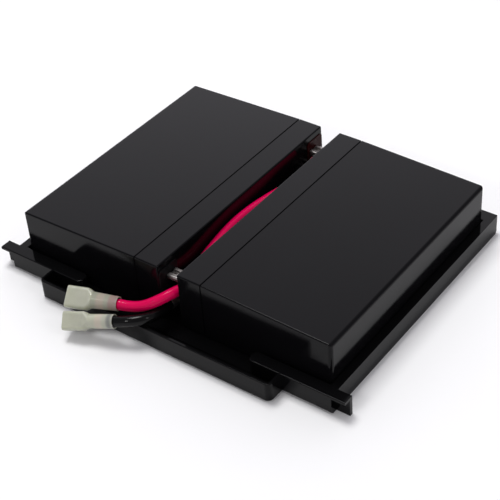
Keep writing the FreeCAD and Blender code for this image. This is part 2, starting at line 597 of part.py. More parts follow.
def make_cell(side, number):
    """One cell: a positive and a negative plate group, each cast to its strap, and the glass mats."""
    toward = SIDES[side]["positive_end"]
    middle = f"({number - 1}) * Places.cell_pitch"
    parts = []
    for polarity, end, count, thickness, first in (
            ("negative", -toward, NEGATIVE_PLATES, "Sizes.negative_plate", "Places.stack_low"),
            ("positive", toward, POSITIVE_PLATES, "Sizes.positive_plate",
             "Places.stack_low + Sizes.negative_plate + Places.separator_thickness")):
        name = f"{side}_cell_{number + 1}_{polarity}_plates"
        strap = f"({middle} + ({end}) * Sizes.strap_offset)"
        group = new_body(name)
        plate = sketch(group, "XY_Plane", name + "_plate", first)
        low, high = f"{middle} - Places.plate_half", f"{middle} + Places.plate_half"
        lug_low, lug_high = f"{strap} - Sizes.lug_width / 2", f"{strap} + Sizes.lug_width / 2"
        outline(plate, [
            ("Places.plate_head", low), ("Places.plate_foot", low), ("Places.plate_foot", high),
            ("Places.plate_head", high), ("Places.plate_head", lug_high), ("Places.strap_foot", lug_high),
            ("Places.strap_foot", lug_low), ("Places.plate_head", lug_low)])
        single = pad(group, plate, thickness)
        pattern(group, single, "Z_Axis", count, f"{count - 1} * Places.plate_pitch")
        bar = sketch(group, "XY_Plane", name + "_strap", first)
        rectangle(bar, "Places.strap_head", "Places.strap_foot",
                  f"{strap} - Sizes.strap_width / 2", f"{strap} + Sizes.strap_width / 2")
        pad(group, bar, f"{count - 1} * Places.plate_pitch + {thickness}")
        last = number == (CELLS - 1 if end > 0 else 0)
        if last:
            post = sketch(group, "YZ_Plane", name + "_post", "Sizes.seal_sunk")
            circle(post, f"({end}) * Places.terminal_place", terminal_height(side), "Sizes.post_diameter")
            pad(group, post, "Places.strap_foot - Sizes.seal_sunk")
        else:
            link = sketch(group, "XZ_Plane", name + "_link", f"-{strap}")
            circle(link, "Places.link_height", "Places.battery_middle_height", "Sizes.link_diameter")
            pad(group, link, "Places.cell_pitch / 2 - Sizes.strap_offset", reverse=end > 0)
        seat(group, side)
        parts.append(group)
    name = f"{side}_cell_{number + 1}_separators"
    mats = new_body(name)
    mat = sketch(mats, "XY_Plane", name + "_mat", "Places.stack_low + Sizes.negative_plate")
    margin = "Sizes.separator_margin"
    rectangle(mat, f"Places.plate_head - {margin}", f"Places.plate_foot + {margin}",
              f"{middle} - Places.plate_half - {margin}", f"{middle} + Places.plate_half + {margin}")
    lower = pad(mats, mat, "Places.separator_thickness")
    pattern(mats, lower, "Z_Axis", POSITIVE_PLATES, f"{POSITIVE_PLATES - 1} * Places.plate_pitch")
    other = sketch(mats, "XY_Plane", name + "_second",
                   "Places.stack_low + Places.plate_pitch - Places.separator_thickness")
    rectangle(other, f"Places.plate_head - {margin}", f"Places.plate_foot + {margin}",
              f"{middle} - Places.plate_half - {margin}", f"{middle} + Places.plate_half + {margin}")
    upper = pad(mats, other, "Places.separator_thickness")
    pattern(mats, upper, "Z_Axis", POSITIVE_PLATES, f"{POSITIVE_PLATES - 1} * Places.plate_pitch")
    seat(mats, side)
    parts.append(mats)
    return parts


def make_tapes(side):
    """Two strips of double-sided tape under the battery's broad side."""
    tapes = new_body(side + "_tapes")
    plan = sketch(tapes, "XY_Plane", side + "_tape_plan", "-Sizes.tape_thickness")
    long_half = "(Sizes.battery_length / 2 - Sizes.tape_inset)"
    for inner in ("Sizes.lid_height + Sizes.tape_inset",
                  "Sizes.battery_height - Sizes.tape_inset - Sizes.tape_width"):
        rectangle(plan, inner, f"{inner} + Sizes.tape_width", "-" + long_half, long_half)
    pad(tapes, plan, "Sizes.tape_thickness")
    seat(tapes, side)
    return tapes


# ---------------------------------------------------------------- wiring

def rolled_profile(drawing, along, height):
    """Section of a push-on receptacle: a floor and two rolled edges that hold the blade."""
    half, thick = "Sizes.flag_width / 2", "Sizes.flag_thickness / 2"
    slot_half = "(Sizes.blade_width / 2 + Sizes.flag_slot_play)"
    slot_thick = "(Sizes.blade_thickness / 2 + Sizes.flag_slot_play)"
    lip = "Sizes.flag_lip_gap / 2"
    corners = [("-" + half, "-" + thick), (half, "-" + thick), (half, thick), (lip, thick), (lip, slot_thick),
               (slot_half, slot_thick), (slot_half, "-" + slot_thick), ("-" + slot_half, "-" + slot_thick),
               ("-" + slot_half, slot_thick), ("-" + lip, slot_thick), ("-" + lip, thick), ("-" + half, thick)]
    outline(drawing, [(f"{along} + ({y})", f"{height} + ({z})") for y, z in corners])


def make_flag(label, side, polarity, toward, wire):
    """Flag receptacle pushed on a blade, with its wire barrel turned along the gap."""
    end = SIDES[side]["positive_end"] * (1 if polarity == "positive" else -1)
    place, height = f"({end}) * Places.terminal_place", terminal_height(side)
    flag = new_body(label)
    grip = sketch(flag, "YZ_Plane", label + "_grip", "-(Sizes.seal_proud + Sizes.flag_stand)")
    rolled_profile(grip, place, height)
    pad(flag, grip, "Sizes.flag_height", reverse=True)
    middle, reach = size(height), size("Sizes.flag_thickness") / 2
    centre, width = size(place), size("Sizes.flag_width") / 2
    fillet(flag, lambda p, d: near(abs(d.x), 1) and near(abs(p.z - middle), reach)
           and near(abs(p.y - centre), width), "Sizes.flag_thickness / 3.5")
    barrel = sketch(flag, "XZ_Plane", label + "_barrel", f"-({place} + ({toward}) * Sizes.blade_width / 2)")
    circle(barrel, "-Sizes.flag_axis", height, f"{wire} + 2 * Sizes.crimp_wall")
    pad(flag, barrel, "(Sizes.flag_width - Sizes.blade_width) / 2 + Sizes.crimp_length", reverse=toward > 0)
    slot = sketch(flag, "YZ_Plane", label + "_slot", "-Sizes.blade_height - Sizes.flag_slot_play")
    rectangle(slot, f"{place} - Sizes.blade_width / 2 - Sizes.flag_slot_play",
              f"{place} + Sizes.blade_width / 2 + Sizes.flag_slot_play",
              f"{height} - Sizes.blade_thickness / 2 - Sizes.flag_slot_play",
              f"{height} + Sizes.blade_thickness / 2 + Sizes.flag_slot_play")
    pocket(flag, slot, "Sizes.blade_height - Sizes.seal_proud", reverse=True)
    seat(flag, side)
    return flag


def barrel_end(side, polarity, toward):
    """Where the wire starts at a flag receptacle, in the cartridge's own frame."""
    setting = SIDES[side]
    end = setting["positive_end"] * (1 if polarity == "positive" else -1)
    turned = -1 if setting["turn"] else 1
    along = size(f"({end}) * Places.terminal_place") + toward * (size("Sizes.flag_width") / 2
                                                                 + size("Sizes.crimp_length"))
    return Vector(turned * (size("Sizes.battery_gap / 2") - size("Sizes.flag_axis")),
                  size("Places.battery_middle") + turned * along,
                  size("Places.battery_base") + size(terminal_height(side)))


def lead_shape(name, points, diameter):
    """A round lead along straight runs joined by tangent arcs."""
    share = 0.45
    edges, radii, here = [], [], points[0]
    for before, corner, after in zip(points, points[1:], points[2:]):
        inward, outward = (corner - before), (after - corner)
        shorter = min(inward.Length, outward.Length)
        inward, outward = Vector(inward).normalize(), Vector(outward).normalize()
        turn = inward.getAngle(outward)
        cut = share * shorter
        radius = cut / math.tan(turn / 2)
        start, end = corner - inward * cut, corner + outward * cut
        toward_centre = (outward - inward).normalize()
        sagitta = radius / math.cos(turn / 2) - radius
        edges.append(Part.LineSegment(here, start).toShape())
        edges.append(Part.Arc(start, corner + toward_centre * sagitta, end).toShape())
        radii.append(radius)
        here = end
    edges.append(Part.LineSegment(here, points[-1]).toShape())
    path = Part.Wire(edges)
    along = (points[1] - points[0]).normalize()
    ring = Part.Wire(Part.Circle(points[0], along, diameter / 2).toShape())
    tube = path.makePipeShell([ring], True, False)
    solid = tube if tube.ShapeType == "Solid" else Part.Solid(tube)
    expected = math.pi * diameter ** 2 / 4 * path.Length
    print(f"{name}: length {path.Length:.1f}, radii", [round(radius, 1) for radius in radii],
          f"volume ratio {solid.Volume / expected:.4f}")
    if abs(solid.Volume / expected - 1) > 0.01:
        raise RuntimeError(f"{name} does not fill its section")
    return solid


def make_lead(label, points, diameter):
    lead = doc.addObject("Part::Feature", label)
    lead.Label = label
    lead.Shape = lead_shape(label, points, diameter)
    return lead


def along_housing(start, axis, roll):
    """Placement of a connector: X from the wire to the mouth, turned about X by the roll."""
    level = Vector(0, 0, 1).cross(axis).normalize()
    rise = axis.cross(level)
    angle = math.radians(roll)
    width = level * math.cos(angle) + rise * math.sin(angle)
    return FreeCAD.Placement(start, FreeCAD.Rotation(axis, width, axis.cross(width), "XYZ"))


def make_connector(colour, placement):
    """Nylon housing round a push-on receptacle, with a metal sleeve gripping the wire's insulation."""
    housing = new_body(colour + "_connector_housing")
    neck_end = "(Sizes.housing_length - Sizes.housing_mouth - Sizes.housing_shoulder)"
    flat_start = "(Sizes.housing_length - Sizes.housing_mouth)"
    ring = sketch(housing, "YZ_Plane", colour + "_barrel")
    circle(ring, "0", "0", "Sizes.housing_barrel")
    pad(housing, ring, neck_end)
    # The round end has four tiny flats, so that both ends of the loft have the same edges.
    shoulder = sketch(housing, "YZ_Plane", colour + "_shoulder", neck_end)
    rounded(shoulder, "Sizes.housing_barrel", "Sizes.housing_barrel", "Sizes.housing_barrel * 0.49")
    flat = sketch(housing, "YZ_Plane", colour + "_flat_start", flat_start)
    rounded(flat, "Sizes.housing_width", "Sizes.housing_thickness", "Sizes.housing_corner")
    loft = housing.newObject("PartDesign::AdditiveLoft", colour + "_loft")
    loft.Profile = shoulder
    loft.Sections = [flat]
    doc.recompute()
    mouth = sketch(housing, "YZ_Plane", colour + "_mouth", flat_start)
    rounded(mouth, "Sizes.housing_width", "Sizes.housing_thickness", "Sizes.housing_corner")
    pad(housing, mouth, "Sizes.housing_mouth")
    room = sketch(housing, "YZ_Plane", colour + "_room", "Sizes.housing_length")
    rounded(room, "Sizes.housing_width - 2 * Sizes.housing_wall",
            "Sizes.housing_thickness - 2 * Sizes.housing_wall", "Sizes.housing_corner - Sizes.housing_wall")
    pocket(housing, room, "Sizes.housing_mouth")
    bore = sketch(housing, "YZ_Plane", colour + "_bore")
    circle(bore, "0", "0", "Sizes.core_diameter + 2 * Sizes.grip_play")
    pocket(housing, bore, flat_start + " + Sizes.grip_play", reverse=True)
    entry = sketch(housing, "YZ_Plane", colour + "_entry")
    circle(entry, "0", "0", "Sizes.lead_diameter + 4 * Sizes.grip_play + 2 * Sizes.grip_wall")
    pocket(housing, entry, "Sizes.grip_length", reverse=True)

    sleeve = new_body(colour + "_grip_sleeve")
    tube = sketch(sleeve, "YZ_Plane", colour + "_tube", "Sizes.grip_play")
    circle(tube, "0", "0", "Sizes.lead_diameter + 2 * Sizes.grip_play + 2 * Sizes.grip_wall")
    circle(tube, "0", "0", "Sizes.lead_diameter + 2 * Sizes.grip_play")
    pad(sleeve, tube, "Sizes.grip_length - Sizes.grip_play")

    inner = new_body(colour + "_receptacle")
    core = sketch(inner, "YZ_Plane", colour + "_core", "Sizes.grip_length")
    circle(core, "0", "0", "Sizes.core_diameter")
    pad(inner, core, "Sizes.core_length")
    body_end = "(Sizes.housing_length - Sizes.receptacle_setback)"
    grip = sketch(inner, "YZ_Plane", colour + "_grip", body_end)
    rolled_profile(grip, "0", "0")
    pad(inner, grip, "Sizes.receptacle_length", reverse=True)
    strip = sketch(inner, "XY_Plane", colour + "_strip", "-Sizes.flag_thickness / 2")
    rectangle(strip, "Sizes.grip_length + Sizes.core_length", f"{body_end} - Sizes.receptacle_length",
              "-Sizes.receptacle_neck / 2", "Sizes.receptacle_neck / 2")
    pad(inner, strip, "Sizes.flag_thickness / 2 - Sizes.blade_thickness / 2 - Sizes.flag_slot_play")
    parts = [housing, sleeve, inner]
    for item in parts:
        item.Placement = placement
    return parts


def rounded(drawing, width, height, corner):
    """A rectangle with round corners, centred on the sketch's origin."""
    first = drawing.GeometryCount
    half_w, half_h, radius = size(width) / 2, size(height) / 2, size(corner)
    flat_w, flat_h = half_w - radius, half_h - radius
    centres = [(flat_w, -flat_h), (flat_w, flat_h), (-flat_w, flat_h), (-flat_w, -flat_h)]
    quarter = math.pi / 2
    for number, (x, y) in enumerate(centres):
        start = (number - 1) * quarter
        round_one = Part.Circle(Vector(x, y, 0), Vector(0, 0, 1), radius)
        drawing.addGeometry(Part.ArcOfCircle(round_one, start, start + quarter), False)
    sides = [((half_w, -flat_h), (half_w, flat_h)), ((flat_w, half_h), (-flat_w, half_h)),
             ((-half_w, flat_h), (-half_w, -flat_h)), ((-flat_w, -half_h), (flat_w, -half_h))]
    for start, end in sides:
        drawing.addGeometry(Part.LineSegment(Vector(*start, 0), Vector(*end, 0)), False)
    for number in range(4):
        side = first + 4 + number
        drawing.addConstraint(Sketcher.Constraint("Tangent", first + number, 2, side, 1))
        drawing.addConstraint(Sketcher.Constraint("Tangent", side, 2, first + (number + 1) % 4, 1))
    for number, (x, y) in enumerate(centres):
        sign_x, sign_y = ("" if x > 0 else "-"), ("" if y > 0 else "-")
        for kind, text, value in (("DistanceX", f"{sign_x}({width} - 2 * ({corner})) / 2", x),
                                  ("DistanceY", f"{sign_y}({height} - 2 * ({corner})) / 2", y)):
            index = drawing.addConstraint(Sketcher.Constraint(kind, -1, 1, first + number, 3, value))
            drawing.setExpression(f"Constraints[{index}]", text)
    index = drawing.addConstraint(Sketcher.Constraint("Radius", first, radius))
    drawing.setExpression(f"Constraints[{index}]", corner)


# The leads' routes, chosen by hand. Each begins at a flag's barrel, in line with it, and a lead's last point
# and its wire end set the axis of its connector. A roll turns a connector about that axis, in degrees.
RED_ROUTE = [(0.4, 18.0, 26.2), (-1.6, -8.0, 26.8), (-2.9, -27.0, 24.0), (-2.3, -42.0, 21.4),
             (0.4, -52.0, 21.0), (2.6, -60.0, 21.3), (1.4, -68.2, 21.8), (-2.6, -75.4, 21.5),
             (-9.0, -80.8, 19.7), (-17.7, -84.3, 17.5)]
RED_WIRE_END = (-21.9, -85.6, 17.3)
RED_ROLL = 0.0
BLACK_ROUTE = [(-5.6, -86.9, 15.9), (-13.0, -93.2, 15.0)]
BLACK_WIRE_END = (-17.3, -94.7, 14.15)
BLACK_ROLL = -42.0
JUMPER_ROUTE = [(3.7, -31.0, 25.4), (3.6, -14.0, 20.6), (2.6, 4.0, 16.4), (0.6, 22.0, 14.2),
                (-1.2, 38.0, 13.9)]


def make_wiring():
    """Red and black leads with their connectors, and the jumper that joins the batteries in series."""
    flags = [
        make_flag("red_lead_flag", "left", "positive", 1, "Sizes.lead_diameter"),
        make_flag("black_lead_flag", "right", "negative", -1, "Sizes.lead_diameter"),
        make_flag("jumper_front_flag", "left", "negative", -1, "Sizes.jumper_diameter"),
        make_flag("jumper_back_flag", "right", "positive", -1, "Sizes.jumper_diameter"),
    ]
    parts = []
    for colour, begin, route, wire_end, roll in (
            ("red", barrel_end("left", "positive", 1), RED_ROUTE, RED_WIRE_END, RED_ROLL),
            ("black", barrel_end("right", "negative", -1), BLACK_ROUTE, BLACK_WIRE_END, BLACK_ROLL)):
        run = size(f"Sizes.{colour}_lead_run")
        route = [begin, begin + Vector(0, -run, 0)] + [Vector(*point) for point in route]
        wire_end = Vector(*wire_end)
        axis = (wire_end - route[-1]).normalize()
        inside = wire_end + axis * size("Sizes.grip_length")
        parts.append(make_lead(colour + "_lead", route + [inside], size("Sizes.lead_diameter")))
        parts += make_connector(colour, along_housing(wire_end, axis, roll))
    front, back = barrel_end("left", "negative", -1), barrel_end("right", "positive", -1)
    route = [front, front + Vector(0, size("Sizes.jumper_front_run"), 0)]
    route += [Vector(*point) for point in JUMPER_ROUTE]
    route += [back + Vector(0, -size("Sizes.jumper_back_run"), 0), back]
    parts.append(make_lead("jumper", route, size("Sizes.jumper_diameter")))
    return flags + parts


# ---------------------------------------------------------------- build, check and write

def check(parts):
    """Stop if any object failed or any sub-part's shape is empty or broken."""
    for item in doc.Objects:
        if "Invalid" in item.State or "Error" in item.State:
            raise RuntimeError(f"{item.Name} did not compute: {item.State}")
    for item in parts:
        if item.Shape.isNull() or not item.Shape.isValid() or item.Shape.Volume <= 0:
            raise RuntimeError(f"{item.Label} has no valid shape")


cartridge = [make_tray()]
for battery_side in SIDES:
    cartridge += [make_container(battery_side), make_lid(battery_side)]
    cartridge += make_vent_fittings(battery_side) + make_terminals(battery_side)
    for cell_number in range(CELLS):
        cartridge += make_cell(battery_side, cell_number)
    cartridge.append(make_tapes(battery_side))
cartridge += make_wiring()
doc.recompute()
check(cartridge)
os.makedirs("parts", exist_ok=True)
for part in cartridge:
    part.Shape.exportStep(f"parts/{part.Label}.step")
print(len(cartridge), "sub-parts written")
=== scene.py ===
import math

import bmesh
import bpy
from mathutils import Matrix, Vector


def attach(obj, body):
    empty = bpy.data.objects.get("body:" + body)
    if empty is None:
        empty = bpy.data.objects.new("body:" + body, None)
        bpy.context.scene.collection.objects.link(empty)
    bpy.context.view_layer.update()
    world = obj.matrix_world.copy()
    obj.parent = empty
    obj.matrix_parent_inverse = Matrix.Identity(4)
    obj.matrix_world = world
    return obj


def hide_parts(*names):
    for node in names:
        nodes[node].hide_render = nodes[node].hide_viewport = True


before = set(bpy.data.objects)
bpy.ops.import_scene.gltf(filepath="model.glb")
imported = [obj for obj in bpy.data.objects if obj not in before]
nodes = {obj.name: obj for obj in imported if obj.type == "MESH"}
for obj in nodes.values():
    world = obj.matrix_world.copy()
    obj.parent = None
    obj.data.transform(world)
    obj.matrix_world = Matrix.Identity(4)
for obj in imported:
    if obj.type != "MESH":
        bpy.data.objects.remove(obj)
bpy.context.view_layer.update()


# ---------------------------------------------------------------- tray
# One injection moulding of black polystyrene, polished in the mould: bay, hat-section rim, a pocket in front
# for the leads, and two ears with a screw hole each. It stands on its side skirts.

MM = 0.001


class Socket:
    """An output of a shader node, so that shader maths is written as Python expressions."""

    def __init__(self, tree, socket):
        self.tree = tree
        self.socket = socket

    @classmethod
    def add(cls, tree, kind, settings=(), inputs=(), output=0):
        """A new node with its settings and its inputs' values or links, as the socket of one output."""
        node = tree.nodes.new(kind)
        for name, value in dict(settings).items():
            setattr(node, name, value)
        for name, value in dict(inputs).items():
            if isinstance(value, cls):
                tree.links.new(value.socket, node.inputs[name])
            else:
                node.inputs[name].default_value = value
        return cls(tree, node.outputs[output])

    def math(self, operation, first, second):
        return Socket.add(self.tree, "ShaderNodeMath", {"operation": operation}, {0: first, 1: second})

    def __add__(self, other):
        return self.math("ADD", self, other)

    def __radd__(self, other):
        return self.math("ADD", other, self)

    def __rsub__(self, other):
        return self.math("SUBTRACT", other, self)

    def __mul__(self, other):
        return self.math("MULTIPLY", self, other)

    def __rmul__(self, other):
        return self.math("MULTIPLY", other, self)

    def power(self, exponent):
        return self.math("POWER", self, exponent)

    def at_least(self, other):
        return self.math("MAXIMUM", self, other)

    def between(self, low, high):
        """Goes from low to high as this socket goes from 0 to 1."""
        return low + (high - low) * self


def new_material(name, **fixed):
    """A material whose shader has these fixed sockets, with its tree, its shader and a place on the piece."""
    material = bpy.data.materials.new(name)
    material.use_nodes = True
    tree = material.node_tree
    shader = tree.nodes["Principled BSDF"]
    for socket, value in fixed.items():
        shader.inputs[socket.replace("_", " ")].default_value = value
    place = Socket.add(tree, "ShaderNodeTexCoord", output="Object")
    return material, tree, shader, place


def noise(place, scale, detail=3.0):
    """Fractal noise, mostly between 0 and 1, at a scale in turns for each metre."""
    return Socket.add(place.tree, "ShaderNodeTexNoise", {},
                      {"Vector": place, "Scale": scale, "Detail": detail})


def blend_colours(factor, low, high):
    """A colour between two. A Mix node's sockets 6 and 7 are its colours, and its output 2 is the blend."""
    return Socket.add(factor.tree, "ShaderNodeMix", {"data_type": "RGBA"}, {0: factor, 6: low, 7: high}, 2)


def bump(height, depth):
    """A normal for hollows of a depth in metres."""
    return Socket.add(height.tree, "ShaderNodeBump", {}, {"Height": height, "Distance": depth})


def drive(shader, socket, value):
    value.tree.links.new(value.socket, shader.inputs[socket])


def dress(material, *names):
    """Give CAD nodes a material in place of the plain one."""
    for name in names:
        nodes[name].data.materials.clear()
        nodes[name].data.materials.append(material)


TRAY_BLACK = (0.0024, 0.0024, 0.0027, 1.0)
TRAY_WORN = (0.0039, 0.0038, 0.0042, 1.0)
tray_plastic, tree, shader, place = new_material("polished_tray_plastic", Specular_IOR_Level=0.115, IOR=1.5)
drive(shader, "Base Color", blend_colours(noise(place, scale=24.0), TRAY_BLACK, TRAY_WORN))
drive(shader, "Roughness", noise(place, scale=55.0, detail=5.0).power(2.0).between(0.07, 0.16))
drive(shader, "Normal", bump(noise(place, scale=160.0, detail=2.0), depth=0.03 * MM))
dress(tray_plastic, "tray")


# ---------------------------------------------------------------- battery cases
# Each block is a drafted jar and a lid of black ABS, welded at a recessed seam. The lid also carries the
# strip over the vent chamber. The skin is smooth with a very fine spark-eroded grain.

CASE_BLACK = (0.0025, 0.0024, 0.0029, 1.0)
CASE_WORN = (0.0042, 0.0040, 0.0048, 1.0)
case_plastic, tree, shader, place = new_material("battery_case_plastic", Specular_IOR_Level=0.11, IOR=1.5)
drive(shader, "Base Color", blend_colours(noise(place, scale=18.0, detail=4.0), CASE_BLACK, CASE_WORN))
drive(shader, "Roughness", noise(place, scale=40.0, detail=5.0).between(0.07, 0.15))
drive(shader, "Normal", bump(noise(place, scale=2400.0, detail=2.0), depth=0.012 * MM))

VALVE_BLACK = (0.012, 0.012, 0.012, 1.0)
VALVE_DUSTY = (0.03, 0.03, 0.03, 1.0)
valve_rubber, tree, shader, place = new_material("valve_rubber", Roughness=0.75)
drive(shader, "Base Color", blend_colours(noise(place, scale=300.0), VALVE_BLACK, VALVE_DUSTY))

for side in ("left", "right"):
    dress(case_plastic, side + "_container", side + "_lid", side + "_vent_cover")
    dress(valve_rubber, *(f"{side}_valve_{number}" for number in (1, 2, 3)))


# ---------------------------------------------------------------- terminals
# A tin-plated brass blade stands in a pool of casting resin in each well of a lid: red resin marks the
# positive end and black the negative.

TIN_DULL = (0.30, 0.28, 0.27, 1.0)
TIN_BRIGHT = (0.50, 0.47, 0.46, 1.0)
tin, tree, shader, place = new_material("tinned_strip", Metallic=1.0)
drive(shader, "Base Color", blend_colours(noise(place, scale=700.0, detail=4.0), TIN_DULL, TIN_BRIGHT))
drive(shader, "Roughness", noise(place, scale=900.0, detail=4.0).between(0.26, 0.48))
drive(shader, "Normal", bump(noise(place, scale=1500.0), depth=0.02 * MM))
for side in ("left", "right"):
    dress(tin, side + "_positive_blade", side + "_negative_blade")

RED_RESIN = ((0.024, 0.0020, 0.0024, 1.0), (0.046, 0.0032, 0.0038, 1.0))
BLACK_RESIN = ((0.006, 0.006, 0.006, 1.0), (0.012, 0.012, 0.013, 1.0))
for end, shades in (("positive", RED_RESIN), ("negative", BLACK_RESIN)):
    resin, tree, shader, place = new_material(end + "_resin", Specular_IOR_Level=0.05)
    drive(shader, "Base Color", blend_colours(noise(place, scale=260.0), *shades))
    drive(shader, "Roughness", noise(place, scale=200.0).between(0.16, 0.36))
    drive(shader, "Normal", bump(noise(place, scale=240.0, detail=2.0), depth=0.15 * MM))
    dress(resin, "left_" + end + "_seal", "right_" + end + "_seal")


# ---------------------------------------------------------------- flag receptacles
# Push-on receptacles rolled from tinned strip grip the four blades. Their wire barrels are turned along the
# gap between the lids, so that the wires run along it.

dress(tin, "red_lead_flag", "black_lead_flag", "jumper_front_flag", "jumper_back_flag")


# ---------------------------------------------------------------- leads and jumper
# Stranded copper in soft glossy insulation. The red lead starts at the left battery's positive blade at the
# back, comes forward through the gap and turns left over the pocket. The black lead starts at the right
# battery's negative blade in front. The jumper joins the two other blades.

LEAD_DIAMETER = 5.8 * MM
JUMPER_DIAMETER = 4.6 * MM
STEPS_ALONG = 12        # from one point of a spline to the next
STEPS_ROUND = 8         # in a quarter of a wire's outline

# The points of each wire's spline, in millimetres, from its blade to its far end.
RED_ROUTE = [(1.6, 61.95, 27.5), (2.2, 46.0, 26.7), (1.0, 32.0, 25.8), (-1.4, 16.5, 27.1), (-2.9, -6.0, 28.2),
             (-3.0, -27.0, 24.9), (-2.3, -42.0, 21.4), (0.6, -52.0, 20.8), (2.6, -60.5, 21.4),
             (1.8, -68.6, 23.4), (-2.6, -75.8, 21.3), (-9.6, -81.1, 17.6), (-17.9, -84.36, 16.5),
             (-26.67, -87.08, 17.07)]
BLACK_ROUTE = [(-1.6, -69.05, 14.5), (-1.4, -79.0, 14.3), (-5.0, -88.0, 15.8), (-12.8, -93.4, 15.0),
               (-21.96, -96.33, 13.23)]
JUMPER_ROUTE = [(1.6, -51.45, 27.5), (1.6, -41.95, 27.5), (3.7, -31.0, 25.4), (3.6, -14.0, 20.6),
                (2.6, 4.0, 16.4), (0.6, 22.0, 14.2), (-1.2, 38.0, 13.9), (-1.6, 49.95, 14.5),
                (-1.6, 61.95, 14.5)]

RED_VINYL = ((0.68, 0.0002, 0.078, 1.0), (0.76, 0.0004, 0.092, 1.0))
BLACK_VINYL = ((0.0010, 0.0010, 0.0011, 1.0), (0.0026, 0.0026, 0.0028, 1.0))


def insulation(name, shades, glaze):
    """Glossy soft plastic with a faint waviness from the strands below it."""
    skin, tree, shader, place = new_material(name, Specular_IOR_Level=0.04, Coat_Weight=glaze,
                                             Coat_Roughness=0.05, Coat_IOR=1.42)
    drive(shader, "Base Color", blend_colours(noise(place, scale=120.0), *shades))
    drive(shader, "Roughness", noise(place, scale=300.0).between(0.24, 0.34))
    drive(shader, "Normal", bump(noise(place, scale=260.0, detail=1.0), depth=0.012 * MM))
    return skin


def metres(point):
    return [value * MM for value in point]


def lead(name, route, skin, diameter, node):
    """A wire along one smooth spline, in place of the node that is its tube."""
    curve = bpy.data.curves.new(name, "CURVE")
    curve.dimensions = "3D"
    spline = curve.splines.new("NURBS")
    spline.points.add(len(route) - 1)
    for point, spot in zip(spline.points, route):
        point.co = (*metres(spot), 1.0)
    spline.order_u = 3
    spline.use_endpoint_u = True
    spline.resolution_u = STEPS_ALONG
    curve.bevel_depth = diameter / 2
    curve.bevel_resolution = STEPS_ROUND
    curve.use_fill_caps = True
    curve.materials.append(skin)
    piece = bpy.data.objects.new(name, curve)
    bpy.context.scene.collection.objects.link(piece)
    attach(piece, "root")
    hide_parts(node)
    return piece


red_skin = insulation("red_insulation", RED_VINYL, glaze=0.32)
black_skin = insulation("black_insulation", BLACK_VINYL, glaze=0.38)
red_cord = lead("red_lead_cord", RED_ROUTE, red_skin, LEAD_DIAMETER, "red_lead")
black_cord = lead("black_lead_cord", BLACK_ROUTE, black_skin, LEAD_DIAMETER, "black_lead")
jumper_cord = lead("jumper_cord", JUMPER_ROUTE, black_skin, JUMPER_DIAMETER, "jumper")


# ---------------------------------------------------------------- connectors
# Push-on receptacles in housings of natural nylon, which is milky enough to show the crimped metal inside; on
# the red housing the crimp's tint is lightened into a painted highlight along its barrel. A tinned sleeve
# grips the insulation at each wire's end. The red connector is twisted on its wire, and its housing's flat
# end is a little wider.

RED_WAY = (0.9543, 0.2954, 0.0454)      # along each wire at its end, back towards its blade
BLACK_WAY = (0.9282, 0.3238, 0.1835)
RED_TWIST = math.radians(38.0)
FLAT_STARTS = -8.0 * MM                 # along the red wire's line, from its end
FLAT_WIDENING = 1.17
SHARP_EDGE = math.radians(35.0)
SAME_POINT = 0.001 * MM


def twisted_copy(name, node, widening):
    """A copy of a node, widened at its flat end and turned about the red wire's line."""
    piece = bpy.data.objects.new(name, nodes[node].data.copy())
    bpy.context.scene.collection.objects.link(piece)
    end = Vector(RED_ROUTE[-1]) * MM
    way = Vector(RED_WAY).normalized()
    across = way.cross(Vector((0.0, 0.0, 1.0))).normalized()
    mesh = bmesh.new()
    mesh.from_mesh(piece.data)
    bmesh.ops.remove_doubles(mesh, verts=mesh.verts, dist=SAME_POINT)
    flat = [vertex for vertex in mesh.verts if (vertex.co - end).dot(way) < FLAT_STARTS]
    bmesh.ops.transform(mesh, matrix=Matrix.Scale(widening, 4, across), space=Matrix.Translation(-end),
                        verts=flat)
    bmesh.ops.rotate(mesh, cent=end, matrix=Matrix.Rotation(RED_TWIST, 3, way), verts=mesh.verts)
    mesh.to_mesh(piece.data)
    mesh.free()
    bpy.ops.object.select_all(action="DESELECT")
    piece.select_set(True)
    bpy.context.view_layer.objects.active = piece
    bpy.ops.object.shade_smooth_by_angle(angle=SHARP_EDGE)
    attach(piece, "root")
    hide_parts(node)
    return piece


red_housing = twisted_copy("red_housing_shell", "red_connector_housing", FLAT_WIDENING)
red_receptacle = twisted_copy("red_receptacle_turned", "red_receptacle", 1.0)
red_receptacle.data.materials.clear()
red_receptacle.data.materials.append(tin)
dress(tin, "red_grip_sleeve", "black_receptacle", "black_grip_sleeve")

NYLON_LOW = (0.52, 0.53, 0.415, 1.0)
NYLON_HIGH = (0.66, 0.67, 0.545, 1.0)
# Copper of the crimp seen through the nylon, lightened to serve also as a painted highlight on the red
# barrel.
CRIMP_AND_PAINTED_HIGHLIGHT = (0.78, 0.62, 0.54, 1.0)
PINK_SHINE = (0.60, 0.28, 0.27, 1.0)
GREY_METAL = (0.20, 0.21, 0.20, 1.0)

# What shows through each housing, with the crimp's tint also a painted highlight on the red one: from where
# to where along the wire's line, in millimetres from its end, how strongly, and in which colour. Each tint
# fades over a millimetre on both sides of its edges.
RED_INSIDE = ((-6.5, -2.2, 0.55, CRIMP_AND_PAINTED_HIGHLIGHT), (0.4, 4.8, 0.55, PINK_SHINE))
BLACK_INSIDE = ((-5.0, -1.0, 0.45, CRIMP_AND_PAINTED_HIGHLIGHT), (1.7, 4.2, 0.80, GREY_METAL))
FADE = 1.0


def fade(along, edge, before, after):
    """One number before an edge on the wire's line and another after it, with a soft step between."""
    return Socket.add(along.tree, "ShaderNodeMapRange", {"interpolation_type": "SMOOTHSTEP"},
                      {0: along, 1: (edge - FADE) * MM, 2: (edge + FADE) * MM, 3: before, 4: after})


